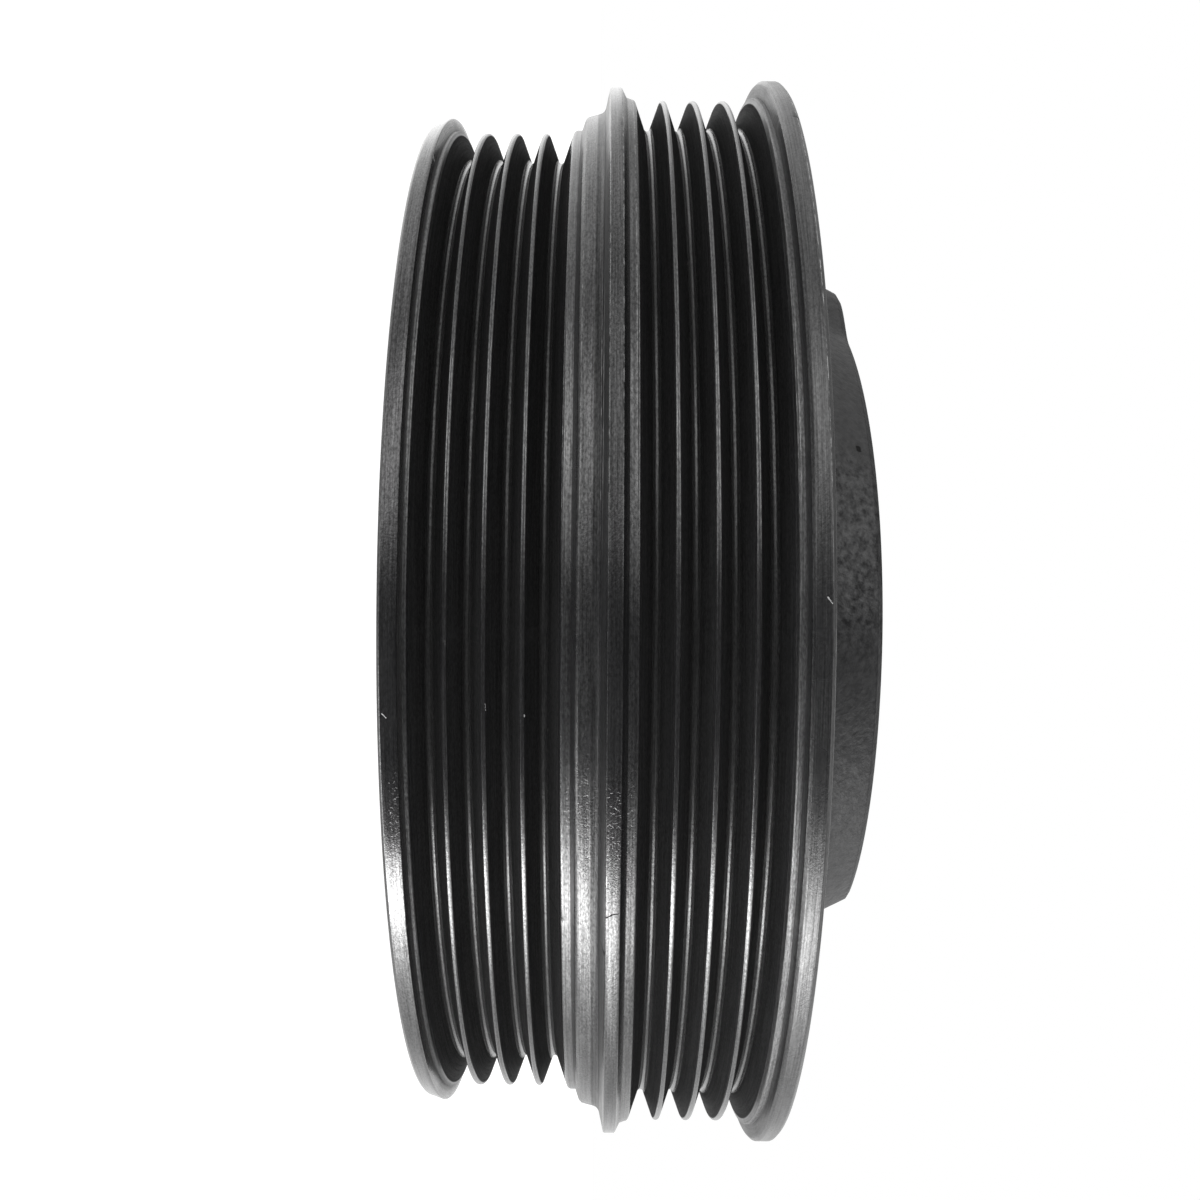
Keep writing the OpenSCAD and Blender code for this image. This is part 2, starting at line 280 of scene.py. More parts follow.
def curve(tree, value, stops):
    """A value carried through (place, level) stops along straight lines, and held at its ends."""
    first, last = stops[0][0], stops[-1][0]
    base = min(0, *(level for _, level in stops))
    rise = max(level for _, level in stops) - base
    node = tree.nodes.new("ShaderNodeValToRGB")
    elements = node.color_ramp.elements
    while len(elements) < len(stops):
        elements.new(0.5)
    for element, (place, level) in zip(elements, stops):
        element.position = (place - first) / (last - first)
        element.color = (*grey((level - base) / rise), 1)
    tree.links.new(spread(tree, value, first, last), node.inputs["Fac"])
    carried = times(tree, node.outputs["Color"], rise)
    return plus(tree, carried, base) if base else carried


def noise(tree, vector, scale, detail, rough):
    node = tree.nodes.new("ShaderNodeTexNoise")
    tree.links.new(vector, node.inputs["Vector"])
    node.inputs["Scale"].default_value = scale
    node.inputs["Detail"].default_value = detail
    node.inputs["Roughness"].default_value = rough
    return node.outputs["Fac"]


def combine(tree, *values):
    node = tree.nodes.new("ShaderNodeCombineXYZ")
    for socket, value in zip(node.inputs, values):
        if isinstance(value, (int, float)):
            socket.default_value = value
        else:
            tree.links.new(value, socket)
    return node.outputs[0]


def turned_coordinates(tree):
    """Angle in degrees, height along the axis and radius in millimetres, as three sockets."""
    place = tree.nodes.new("ShaderNodeTexCoord")
    split = tree.nodes.new("ShaderNodeSeparateXYZ")
    tree.links.new(place.outputs["Object"], split.inputs[0])
    x, y, z = split.outputs
    angle = calc(tree, "DEGREES", calc(tree, "ARCTAN2", x, times(tree, y, -1.0)))
    squares = plus(tree, times(tree, x, x), times(tree, y, y))
    return angle, times(tree, z, 1 / MM), times(tree, calc(tree, "SQRT", squares), 1 / MM)


def arc_length(tree, angle):
    """Millimetres round the rear flange for an angle in degrees."""
    return times(tree, angle, math.radians(1) * REAR_FLANGE_R)


def bump(tree, height):
    """A bump whose height is in millimetres."""
    node = tree.nodes.new("ShaderNodeBump")
    node.inputs["Strength"].default_value = 1.0
    node.inputs["Distance"].default_value = MM
    tree.links.new(height, node.inputs["Height"])
    return node.outputs[0]


def grey(level):
    return (level, level, level)


def mix_color(tree, factor, first, second):
    """The first colour where the factor is 0, and the second where it is 1."""
    node = tree.nodes.new("ShaderNodeMix")
    node.data_type = "RGBA"
    tree.links.new(factor, node.inputs["Factor"])
    for socket, value in ((node.inputs[6], first), (node.inputs[7], second)):
        if isinstance(value, tuple):
            socket.default_value = (*value, 1)
        else:
            tree.links.new(value, socket)
    return node.outputs[2]


def new_material(name):
    material = bpy.data.materials.new(name)
    material.use_nodes = True
    tree = material.node_tree
    return material, tree, tree.nodes["Principled BSDF"]


def stroke(tree, arc_mm, z, mark, wobble):
    """1 along a stroke and 0 away from it, with a ragged edge."""
    from_angle, from_z, to_angle, to_z, half_width = mark
    run = math.radians(to_angle - from_angle) * REAR_FLANGE_R
    rise = to_z - from_z
    u = minus(tree, arc_mm, math.radians(from_angle) * REAR_FLANGE_R)
    v = minus(tree, z, from_z)
    along = plus(tree, times(tree, u, run), times(tree, v, rise))
    along = calc(tree, "DIVIDE", along, run * run + rise * rise, clamp=True)
    off_u = minus(tree, u, times(tree, along, run))
    off_v = minus(tree, v, times(tree, along, rise))
    squares = plus(tree, times(tree, off_u, off_u), times(tree, off_v, off_v))
    away = plus(tree, calc(tree, "SQRT", squares), wobble)
    return spread(tree, away, half_width * STROKE_OUTSIDE, half_width * STROKE_INSIDE, smooth=True)


def strokes(tree, arc_mm, z, marks, wobble):
    """The strongest of several strokes."""
    return highest(tree, *(stroke(tree, arc_mm, z, mark, wobble) for mark in marks))


# The coat by height along the axis: smooth on the front flange and the collar, rougher on the other lands,
# and dull in the steps between them. The rows are the front flange with its track, the lands before the
# collar, the collar and high land with the rear track, and the rear flange
COAT_ROUGHNESS = [
    (0, 0.13), (2.0, 0.13), (2.15, 0.42), (2.6, 0.42), (2.75, 0.2), (16.4, 0.2),
    (16.9, 0.3), (19.3, 0.26), (19.5, 0.35), (20.6, 0.35),
    (20.8, 0.18), (22.2, 0.18), (22.6, 0.28), (23.6, 0.26), (24.0, 0.2), (37.0, 0.22),
    (37.75, 0.48), (38.2, 0.48), (38.5, 0.28), (RING_W, 0.28)]
COAT_SHEEN = [
    (0, 0.5), (2.0, 0.5), (2.1, 0.3), (2.65, 0.3), (2.75, 0.5), (16.6, 0.5),
    (16.9, 0.6), (17.42, 0.6), (17.5, 0.22), (17.95, 0.28), (18.1, 0.5), (19.38, 0.5), (19.46, 0.2),
    (20.3, 0.2), (20.7, 0.3),
    (20.85, 0.43), (22.15, 0.43), (22.25, 0.15), (22.62, 0.18), (22.75, 0.55), (23.4, 0.5),
    (37.7, 0.7), (38.15, 0.7), (38.3, 0.25), (38.7, 0.25), (38.8, 0.5), (RING_W, 0.5)]

# By depth under the crests, within the tracks: the share of the sheen, the roughness that is added, and how
# far the tone goes towards a lighter grey that is painted light. It lifts the flanks and floors, which get
# little light, and paints a highlight line along the middle of each floor. The flanks are dull, and the
# floors less so
GROOVE_SHEEN = [(0, 1), (0.2, 1), (0.32, 0.04), (3.08, 0.04), (3.2, 0.5), (GROOVE_DEPTH, 0.55)]
GROOVE_ROUGHNESS = [(0, 0), (0.2, 0), (0.32, 0.4), (3.02, 0.4), (3.14, 0.06), (GROOVE_DEPTH, 0.04)]
GROOVE_PAINTED_LIGHT = [
    (0, 0), (0.32, 0.25), (1.7, 0.48), (2.9, 0.78), (3.32, 0.7), (3.42, 1), (GROOVE_DEPTH, 1)]

# Windows on the ring: from, to and the softness of the ends, in millimetres of z or degrees of angle
TRACKS = (2.3, 37.95, 0.03)
# The front wall's window carries painted light: a lighter grey lifts the wall between the front flange and
# its track out of its shade
FRONT_WALL = (1.95, 2.25, 0.03)
FRONT_BAND = (2.1, 2.7, 0.05)
COLLAR_WALL = (20.33, 20.8, 0.04)
SCUFFED_LAND, SCUFFED_ANGLES = (16.85, 17.5, 0.05), (-24.0, -4.0, 4.0)
HATCHED = [(20.9, 22.1, 0.05), (38.8, 40.2, 0.1)]
PITTED, PITTED_ANGLES = [(0.9, 1.85, 0.1), (16.9, 23.3, 0.1)], (14.0, 23.0, 2.0)

# The front track's values give way to the rear track's between these heights
TRACK_CHANGE = (20.5, 20.51)

# What the front band and the collar's wall add to the sheen, by angle
BAND_GAIN = [(-44, 0.64), (-30, 0.42), (-14, 0.42), (-6, 0.16), (0, 0.16), (24, -0.14)]
WALL_GAIN = [(-30, 0.62), (-16, 0), (30, 0), (40, 0.7)]

# Duller patches, as windows of z and angle with a factor: the front flange before the strong light and under
# the weaker one, the low land's lower end, and the collar under the weaker light
DULL_PATCHES = [
    ((0.6, 1.95, 0.15), (11.0, 20.5, 1.5), 0.45),
    ((-1.0, 1.95, 0.05), (-53.0, -39.0, 5.0), 0.66),
    ((16.8, 17.5, 0.05), (29.5, 200.0, 4.5), 0.75),
    ((20.85, 22.15, 0.04), (-22.0, -8.0, 4.0), 0.6)]

# Rubbed edges on the lands and the collar, and the rear flange's, which is weighted up: its bare grey line is
# partly wear and partly a painted highlight for the chamfer's reflection of the bright surroundings
RUBBED_EDGES = [(18.20, 18.27, 0.03), (20.80, 20.88, 0.03), (22.06, 22.18, 0.03), (23.28, 23.40, 0.04)]
REAR_EDGE = (RING_W - REAR_CHAMFER - 0.02, RING_W - REAR_CHAMFER + 0.06, 0.03)
REAR_EDGE_WEAR_AND_HIGHLIGHT = 2.0

# Rubbed crests: their angles, the depth where rubbing ends, and two fine lines with a duller middle, both as
# distances from the middle of the crest
CREST_ANGLES = (-28.0, -8.0, 5.0)
CREST_DEPTH = (0.06, 0.10)
CREST_LINES = (0.07, 0.12, 0.02)
CREST_MIDDLE = (0.03, 0.06)

# Strokes: angle and z at the start, the same at the end, and half the width. The dark ones are the crack.
# Each fades out between two shares of its half width
STROKE_INSIDE, STROKE_OUTSIDE = 0.7, 1.4
BRIGHT_STROKES = [
    (-0.97, 39.70, -0.5, 40.1, 0.05), (8.82, 0.52, 9.15, 0.90, 0.05), (21.2, 20.88, 22.2, 20.90, 0.05),
    (8.2, 9.72, 8.8, 9.76, 0.03), (9.1, 13.27, 9.3, 13.30, 0.04)]
DARK_STROKES = [(25.05, 20.92, 24.76, 21.41, 0.08), (24.76, 21.41, 24.65, 22.04, 0.07)]
SCUFFS = [(28.9, 1.0, 31.2, 1.72, 0.045), (32.3, 0.25, 31.2, 1.7, 0.12)]
BOSS_SPOTS = [(-26.0, 48.1, -25.3, 48.15, 0.28)]

# What is left of the sheen in each kind of mark
CREST_MIDDLE_SHEEN, SCUFF_SHEEN, CRACK_SHEEN = 0.6, 0.7, 0.06

# Tones of the coat, and heights of its grain in millimetres
COAT_TONES = ((0.005, 0.005, 0.0054), (0.0085, 0.0085, 0.0087))
# The grooves' grey is painted light: a lighter tone for flanks and floors that get little light, and a
# painted highlight line on each floor
GROOVE_PAINTED_LIGHT_GREY = 0.019
# The front wall's grey is painted light, lifting a wall that lies in shade
FRONT_WALL_PAINTED_LIGHT_GREY = 0.02
SCUFF_GREY = 0.05
SPECK_GREY = 0.002
BARE_AND_HIGHLIGHT_GREY = 0.2
CRACK_GREY = 0.003
GRAIN_HEIGHT = 0.013
HATCH_HEIGHT = 0.009
PIT_DEPTH = 0.012

# Noises of the coat, by millimetre: scale, detail and roughness
BLOTCHES = (0.22, 3.0, 0.6)
SPECKS = (5.5, 2.0, 0.6)
TURNING_LINES = (6.0, 2.0, 0.6)
RUBBING = (2.0, 2.0, 0.7)
GRAIN = (5.0, 2.0, 0.6)
PITS = (2.8, 1.0, 0.6)
SLANTING_MARKS = (1.2, 1.0, 0.5)

# Specks and turning lines are drawn out round the axis, by these shares of a millimetre, and slanting marks
# along a diagonal
SPECK_DRAW = 0.45
TURNING_DRAW = 0.015
SLANT_ACROSS, SLANT_ALONG = 3.5, 0.5

# What a value is carried from and to. The first two make the grain, and the third weakens its specks on the
# rear flange
SPECK_SWING = (0.35, 0.65, -0.4, 0.4)
TURNING_SWING = (0.35, 0.65, 0.65, 1.35)
REAR_SPECKS = (38.5, 38.8, 1.0, 0.55)
STROKE_WOBBLE = (0.3, 0.7, -0.03, 0.05)
RUBBED_SHARE = (0.42, 0.68)
WEAR_BY_ANGLE = (4.0, -26.0, 0.0, 0.67)
LINE_WEAR = (0, 1, 0.15, 0.75)
SCUFF_SHARE = 0.6
SPECK_SHARE = (0.5, 1.5, 0.6, 0.0)
PIT_SHARE = (0.57, 0.64)
BLOTCH_ROUGHNESS = (0.3, 0.7, 0.9, 1.1)


def coat_places(tree):
    """Sockets for a point of the ring: its place, its depth in a track, and how grainy the coat is there."""
    at = SimpleNamespace()
    at.angle, at.z, radius = turned_coordinates(tree)
    at.arc_mm = arc_length(tree, at.angle)
    at.skin = combine(tree, at.arc_mm, at.z, radius)
    at.streaked = combine(tree, times(tree, at.arc_mm, SPECK_DRAW), at.z, radius)
    along = combine(tree, times(tree, at.arc_mm, TURNING_DRAW), at.z, radius)

    crest_r = spread(tree, at.z, *TRACK_CHANGE, FRONT_CREST_R, REAR_CREST_R)
    at.depth = minus(tree, crest_r, radius)
    at.tracks = window(tree, at.z, *TRACKS)
    first_groove = spread(tree, at.z, *TRACK_CHANGE, FRONT_GROOVE_Z, REAR_GROOVE_Z)
    pitches = times(tree, minus(tree, at.z, first_groove), 1 / RIB_PITCH)
    off_crest = calc(tree, "ABSOLUTE", minus(tree, calc(tree, "FRACT", pitches), 0.5))
    at.off_crest = times(tree, off_crest, RIB_PITCH)
    at.rubbed_crest = times(tree, window(tree, at.angle, *CREST_ANGLES), at.tracks,
                            spread(tree, at.depth, *CREST_DEPTH, 1, 0))

    at.blotch = noise(tree, at.skin, *BLOTCHES)
    speckle = noise(tree, at.streaked, *SPECKS)
    turning = noise(tree, along, *TURNING_LINES)
    specks = times(tree, spread(tree, speckle, *SPECK_SWING), spread(tree, at.z, *REAR_SPECKS))
    at.fine = times(tree, plus(tree, specks, 1.0), spread(tree, turning, *TURNING_SWING))
    at.wobble = spread(tree, speckle, *STROKE_WOBBLE)
    return at


def coat_sheen(tree, at):
    """How strongly the unmarked coat mirrors."""
    dull = times(tree, minus(tree, 1.0, curve(tree, at.depth, GROOVE_SHEEN)), at.tracks)
    sheen = times(tree, curve(tree, at.z, COAT_SHEEN), minus(tree, 1.0, dull))
    for ends, gain in ((FRONT_BAND, BAND_GAIN), (COLLAR_WALL, WALL_GAIN)):
        sheen = plus(tree, sheen, times(tree, window(tree, at.z, *ends), curve(tree, at.angle, gain)))
    for z_ends, angle_ends, factor in DULL_PATCHES:
        patch = times(tree, window(tree, at.z, *z_ends), window(tree, at.angle, *angle_ends))
        sheen = dimmed(tree, sheen, patch, factor)
    return sheen


def coat_wear_and_highlight(tree, at):
    """1 where the coat is rubbed through: on the upper half's edges, in crest lines and in strokes; partly a
    painted highlight on the rear chamfer.
    """
    rubbed = spread(tree, noise(tree, at.streaked, *RUBBING), *RUBBED_SHARE)
    edges = plus(tree, windows(tree, at.z, RUBBED_EDGES),
                 times(tree, window(tree, at.z, *REAR_EDGE), REAR_EDGE_WEAR_AND_HIGHLIGHT))
    upper = spread(tree, at.angle, *WEAR_BY_ANGLE, smooth=True)
    # The rear chamfer's line is partly wear and partly a painted highlight
    worn_and_lit_edges = calc(tree, "MULTIPLY", times(tree, edges, rubbed), upper, clamp=True)
    crest_lines = times(tree, window(tree, at.off_crest, *CREST_LINES), at.rubbed_crest,
                        spread(tree, rubbed, *LINE_WEAR))
    return highest(tree, worn_and_lit_edges, crest_lines, strokes(tree, at.arc_mm, at.z, BRIGHT_STROKES, at.wobble))


def coat_tone(tree, at, wear_and_highlight, cracked):
    """The coat's colour: each mask in turn carries it towards a grey; the grooves' and front wall's greys are
    painted light.
    """
    scuffed = times(tree, window(tree, at.z, *SCUFFED_LAND), window(tree, at.angle, *SCUFFED_ANGLES))
    tone = mix_color(tree, at.blotch, *COAT_TONES)
    for mask, level in (
            # Painted light in the grooves: a lighter grey, brightest in a thin painted highlight along each
            # floor
            (times(tree, curve(tree, at.depth, GROOVE_PAINTED_LIGHT), at.tracks), GROOVE_PAINTED_LIGHT_GREY),
            # Painted light on the front wall: a lighter grey where it lies in shade
            (window(tree, at.z, *FRONT_WALL), FRONT_WALL_PAINTED_LIGHT_GREY),
            (times(tree, scuffed, SCUFF_SHARE), SCUFF_GREY),
            (spread(tree, at.fine, *SPECK_SHARE), SPECK_GREY),
            # Bare grey of wear, which on the rear chamfer is partly a painted highlight
            (wear_and_highlight, BARE_AND_HIGHLIGHT_GREY),
            (cracked, CRACK_GREY)):
        tone = mix_color(tree, mask, tone, grey(level))
    return tone


def coat_relief(tree, at):
    """Grain all over, slanting marks on two lands, and pits where the strong light begins, as a height."""
    grain = noise(tree, at.skin, *GRAIN)
    slant_u = times(tree, plus(tree, at.arc_mm, at.z), SLANT_ACROSS)
    slant_v = times(tree, minus(tree, at.z, at.arc_mm), SLANT_ALONG)
    slanting = noise(tree, combine(tree, slant_u, slant_v, 0), *SLANTING_MARKS)
    pits = spread(tree, noise(tree, at.skin, *PITS), *PIT_SHARE, smooth=True)
    pitted = times(tree, windows(tree, at.z, PITTED), window(tree, at.angle, *PITTED_ANGLES))
    return plus(
        tree, times(tree, grain, GRAIN_HEIGHT),
        times(tree, slanting, windows(tree, at.z, HATCHED), HATCH_HEIGHT),
        times(tree, pits, pitted, -PIT_DEPTH))


def coat_material():
    """Black coat over turned iron: semi-gloss, finely turned and grainy, rubbed on a few edges."""
    material, tree, shader = new_material("black_coat")
    at = coat_places(tree)
    # Wear, and a painted highlight on the rear chamfer
    wear_and_highlight = coat_wear_and_highlight(tree, at)
    cracked = strokes(tree, at.arc_mm, at.z, DARK_STROKES, at.wobble)
    scuffs = strokes(tree, at.arc_mm, at.z, SCUFFS, at.wobble)
    crest_middle = times(tree, spread(tree, at.off_crest, *CREST_MIDDLE, 1, 0), at.rubbed_crest)
    sheen = times(tree, coat_sheen(tree, at), at.fine)
    for mask, factor in (
            (crest_middle, CREST_MIDDLE_SHEEN), (scuffs, SCUFF_SHEEN), (cracked, CRACK_SHEEN)):
        sheen = dimmed(tree, sheen, mask, factor)
    rough = times(tree, curve(tree, at.z, COAT_ROUGHNESS), spread(tree, at.blotch, *BLOTCH_ROUGHNESS))
    rough = plus(tree, rough, times(tree, curve(tree, at.depth, GROOVE_ROUGHNESS), at.tracks))
    tree.links.new(coat_tone(tree, at, wear_and_highlight, cracked), shader.inputs["Base Color"])
    tree.links.new(sheen, shader.inputs["Specular IOR Level"])
    tree.links.new(rough, shader.inputs["Roughness"])
    tree.links.new(bump(tree, coat_relief(tree, at)), shader.inputs["Normal"])
    return material


# The rubber: its tones, its roughness, the height of its grain in millimetres, and its noises by metre
RUBBER_TONES = ((0.010, 0.010, 0.010), (0.022, 0.021, 0.020))
RUBBER_ROUGHNESS = 0.7
RUBBER_GRAIN_HEIGHT = 0.02
RUBBER_BLOTCHES = (400, 3.0, 0.5)
RUBBER_GRAIN = (1500, 2.0, 0.5)


def rubber_material():
    material, tree, shader = new_material("black_rubber")
    place = tree.nodes.new("ShaderNodeTexCoord").outputs["Object"]
    tone = mix_color(tree, noise(tree, place, *RUBBER_BLOTCHES), *RUBBER_TONES)
    tree.links.new(tone, shader.inputs["Base Color"])
    shader.inputs["Roughness"].default_value = RUBBER_ROUGHNESS
    grain = times(tree, noise(tree, place, *RUBBER_GRAIN), RUBBER_GRAIN_HEIGHT)
    tree.links.new(bump(tree, grain), shader.inputs["Normal"])
    return material


# The cast skin: the angles where it is roughest, its tones, its sheen, which falls just before the boss's
# end, and the heights of its fine and its broad unevenness in millimetres
ROUGHEST_ANGLES = (-23.0, 5.0, 5.0)
CAST_TONES = ((0.003, 0.003, 0.0033), (0.0145, 0.0145, 0.015))
CAST_HOLLOW_GREY = 0.002
CAST_SHEEN, CAST_EDGE_SHEEN = 0.27, 0.07
CAST_EDGE = (BOSS_END_Z - 0.8, BOSS_END_Z - 0.5)
CAST_ROUGHNESS = 0.42
CAST_FINE_HEIGHT = 0.09
CAST_BROAD_HEIGHT = 0.10

# Noises of the cast skin, by metre: scale, detail and roughness
MOTTLE = (1200, 4.0, 0.65)
PORES = (1900, 2.0, 0.65)
CAST_FINE = (1500, 2.0, 0.6)
CAST_BROAD = (350, 2.0, 0.5)

# What a value of the cast skin is carried from and to, and what is left of the mottle and the pores away from
# the roughest part, of the pores in the tone, and of tone and sheen in a spot
MOTTLE_SWING = (0.35, 0.65, -0.5, 0.5)
MOTTLE_MIDDLE = 0.5
MOTTLE_SHEEN = (0, 1, 0.5, 1.5)
PORE_SHARE = (0.60, 0.70)
SPOT_WOBBLE = (0, 1, 0.1, -0.1)
SMOOTH_MOTTLE, SMOOTH_PORES, PORE_TONE, SPOT_LEFT = 0.35, 0.2, 0.4, 0.2


def cast_material():
    """Sand-cast iron skin under thin black paint: matt, with faint mottling and small pits."""
    material, tree, shader = new_material("cast_skin")
    angle, z, _ = turned_coordinates(tree)
    place = tree.nodes.new("ShaderNodeTexCoord").outputs["Object"]
    roughest = window(tree, angle, *ROUGHEST_ANGLES)
    mottle = spread(tree, noise(tree, place, *MOTTLE), *MOTTLE_SWING)
    mottle = plus(tree, times(tree, mottle, spread(tree, roughest, 0, 1, SMOOTH_MOTTLE, 1)), MOTTLE_MIDDLE)
    pores = spread(tree, noise(tree, place, *PORES), *PORE_SHARE)
    pores = times(tree, pores, spread(tree, roughest, 0, 1, SMOOTH_PORES, 1), PORE_TONE)
    tone = mix_color(tree, mottle, *CAST_TONES)
    tone = mix_color(tree, pores, tone, grey(CAST_HOLLOW_GREY))
    spot = strokes(tree, arc_length(tree, angle), z, BOSS_SPOTS, spread(tree, mottle, *SPOT_WOBBLE))
    unspotted = spread(tree, spot, 0, 1, 1, SPOT_LEFT)
    tree.links.new(mix_color(tree, unspotted, grey(CAST_HOLLOW_GREY), tone), shader.inputs["Base Color"])
    sheen = times(tree, spread(tree, z, *CAST_EDGE, CAST_SHEEN, CAST_EDGE_SHEEN),
                  spread(tree, mottle, *MOTTLE_SHEEN), unspotted)
    tree.links.new(sheen, shader.inputs["Specular IOR Level"])
    shader.inputs["Roughness"].default_value = CAST_ROUGHNESS
    unevenness = plus(tree, times(tree, noise(tree, place, *CAST_FINE), CAST_FINE_HEIGHT),
                      times(tree, noise(tree, place, *CAST_BROAD), CAST_BROAD_HEIGHT))
    tree.links.new(bump(tree, unevenness), shader.inputs["Normal"])
    return material


# Surroundings

# The floor, in metres. It glows, so that it looks as white as the photograph's ground
FLOOR_HALF = 3.0
FLOOR_GREY = 0.25
FLOOR_ROUGHNESS = 0.9
FLOOR_GLOW = 0.95


def add_floor():
    corners = [(x * FLOOR_HALF, y * FLOOR_HALF, 0) for x, y in ((-1, -1), (1, -1), (1, 1), (-1, 1))]
    floor = plain_mesh("floor", corners, [(0, 1, 2, 3)])
    material, _, shader = new_material("floor_white")
    shader.inputs["Base Color"].default_value = (*grey(FLOOR_GREY), 1)
    shader.inputs["Roughness"].default_value = FLOOR_ROUGHNESS
    shader.inputs["Emission Color"].default_value = (*grey(1), 1)
    shader.inputs["Emission Strength"].default_value = FLOOR_GLOW
    shader.inputs["Specular IOR Level"].default_value = 0
    floor.data.materials.append(material)
    floor.visible_glossy = False
    floor.visible_shadow = False


# The light tent, by direction round the axis in degrees from the camera's side: its own glow, with a dark gap
# in front of the part, and one strong light
GLOW = [
    (-180, 1.1), (-158, 1.3), (-140, 1.75), (-127, 1.6), (-114, 1.5), (-95, 1.5), (-82, 1.35), (-70, 1.1),
    (-62, 1.5), (-54, 2.6), (-46, 3.4), (-36, 3.6), (-28, 2.9), (-20, 1.7), (-12, 0.6), (-4, 0.17),
    (30, 0.15), (42, 0.3), (52, 0.9), (62, 1.2), (95, 1.2), (107, 1.15), (135, 1.2), (150, 1.1), (180, 1.0)]
LAMP = [
    (-180, 0), (43, 0), (50, 1.4), (55, 9.5), (60, 23.5), (65, 30.0), (70, 26.5), (76, 15.0), (83, 6.0),
    (90, 3.3), (98, 1.2), (110, 0.1), (120, 0), (180, 0)]

# By direction along the axis, where positive is the photograph's right: the strength of the strong light, and
# what the glow is multiplied by beyond the photograph's top
REACH = [
    (-90, 0.1), (-60, 0.4), (-48, 0.8), (-36, 1.0), (-22, 0.82), (0, 0.88), (5, 0.66), (10, 0.5), (18, 0.4),
    (32, 0.36), (42, 0.1), (55, 0), (90, 0)]
FAR_ABOVE = [(-90, 0.8), (-48, 0.8), (-35, 1.05), (-20, 1.15), (0, 1.12), (12, 0.42), (90, 0.42)]
FAR_SIDE = (-96, -118)

# The strong light bends back beyond this direction along the axis
LAMP_STRAIGHT = 22.0
LAMP_BEND = 0.65


def tent_strength(tree):
    """The tent's light by direction, as a socket."""
    place = tree.nodes.new("ShaderNodeTexCoord")
    split = tree.nodes.new("ShaderNodeSeparateXYZ")
    tree.links.new(place.outputs["Generated"], split.inputs[0])
    x, y, z = split.outputs
    turn = calc(tree, "DEGREES", calc(tree, "ARCTAN2", x, times(tree, y, -1.0)))
    lift = calc(tree, "DEGREES", calc(tree, "ARCSINE", z))
    change = times(tree, minus(tree, curve(tree, lift, FAR_ABOVE), 1.0), spread(tree, turn, *FAR_SIDE))
    glow = times(tree, curve(tree, turn, GLOW), plus(tree, change, 1.0))
    bend = spread(tree, calc(tree, "ABSOLUTE", lift), LAMP_STRAIGHT, 90, 0, (90 - LAMP_STRAIGHT) * LAMP_BEND)
    lamp = times(tree, curve(tree, minus(tree, turn, bend), LAMP), curve(tree, lift, REACH))
    return plus(tree, glow, lamp)


def add_world():
    """A tent round the part that lights it, and plain white wherever the camera looks past it."""
    world = bpy.data.worlds.new("tent")
    world.use_nodes = True
    tree = world.node_tree
    nodes, links = tree.nodes, tree.links
    tent = nodes["Background"]
    white = nodes.new("ShaderNodeBackground")
    for background in (tent, white):
        background.inputs["Color"].default_value = (*grey(1), 1)
    white.inputs["Strength"].default_value = 1.0
    links.new(tent_strength(tree), tent.inputs["Strength"])
    mix = nodes.new("ShaderNodeMixShader")
    links.new(nodes.new("ShaderNodeLightPath").outputs["Is Camera Ray"], mix.inputs["Fac"])
    links.new(tent.outputs[0], mix.inputs[1])
    links.new(white.outputs[0], mix.inputs[2])
    links.new(mix.outputs[0], nodes["World Output"].inputs["Surface"])
    bpy.context.scene.world = world
    bpy.context.scene.view_settings.view_transform = "Standard"


# Profiles: lists of (radius, z, kind of corner)


def arc(r, z, radius, start, end, steps):
    """Points round a corner of the profile. Angle 0 points along +Z, 90 outwards."""
    turns = [math.radians(start + (end - start) * i / steps) for i in range(steps + 1)]
    return [(r + radius * math.sin(a), z + radius * math.cos(a), SMOOTH) for a in turns]


def groove(z, floor_r, front_h, front_corner, rear_h, rear_corner):
    """One groove: a rounded corner, a straight flank, a round floor and the same again mirrored."""
    flank = math.degrees(FLANK)
    front_z = z - groove_half(front_h, front_corner)
    rear_z = z + groove_half(rear_h, rear_corner)
    return (
        arc(floor_r + front_h - front_corner, front_z, front_corner, 90, flank, CORNER_STEPS)
        + arc(floor_r + FLOOR_ROUND, z, FLOOR_ROUND, 180 + flank, 360 - flank, FLOOR_STEPS)
        + arc(floor_r + rear_h - rear_corner, rear_z, rear_corner, 180 - flank, 90, CORNER_STEPS))


def track(z, crest_r, front_rise, front_corner, rear_rise, rear_corner):
    """A belt track: its two outermost corners stand higher than its crests, with their own radii."""
    points = []
    for i in range(GROOVE_COUNT):
        first, last = i == 0, i == GROOVE_COUNT - 1
        points += groove(
            z + i * RIB_PITCH, crest_r - GROOVE_DEPTH,
            GROOVE_DEPTH + (front_rise if first else 0), front_corner if first else CREST_ROUND,
            GROOVE_DEPTH + (rear_rise if last else 0), rear_corner if last else CREST_ROUND)
    return points


def line(start, end):
    """Points between two points, ends left out, so that marks have something to move."""
    count = max(int(math.dist(start, end) / LAND_STEP), 1)
    run, rise = end[0] - start[0], end[1] - start[1]
    return [(start[0] + run * i / count, start[1] + rise * i / count, SMOOTH) for i in range(1, count)]


def front_flange():
    """From the bore's front edge to the front track."""
    face = (FRONT_FLANGE_R - FRONT_FLANGE_FALL, FRONT_CHAMFER)
    back = (FRONT_FLANGE_R, FRONT_FLANGE_W - EDGE_BREAK)
    return [
        (RING_BORE_R, RING_BORE_CHAMFER, SHARP),
        (RING_BORE_R + RING_BORE_CHAMFER, 0, SHARP),
        (FRONT_FLANGE_R - FRONT_FLANGE_FALL - FRONT_CHAMFER, 0, EASED),
        (*face, EASED),
        *line(face, back),
        (*back, SMOOTH),
        (FRONT_FLANGE_R - EDGE_BREAK, FRONT_FLANGE_W, SMOOTH),
        (FRONT_CREST_R + FRONT_BAND_RISE, FRONT_BAND_Z, SHARP)]


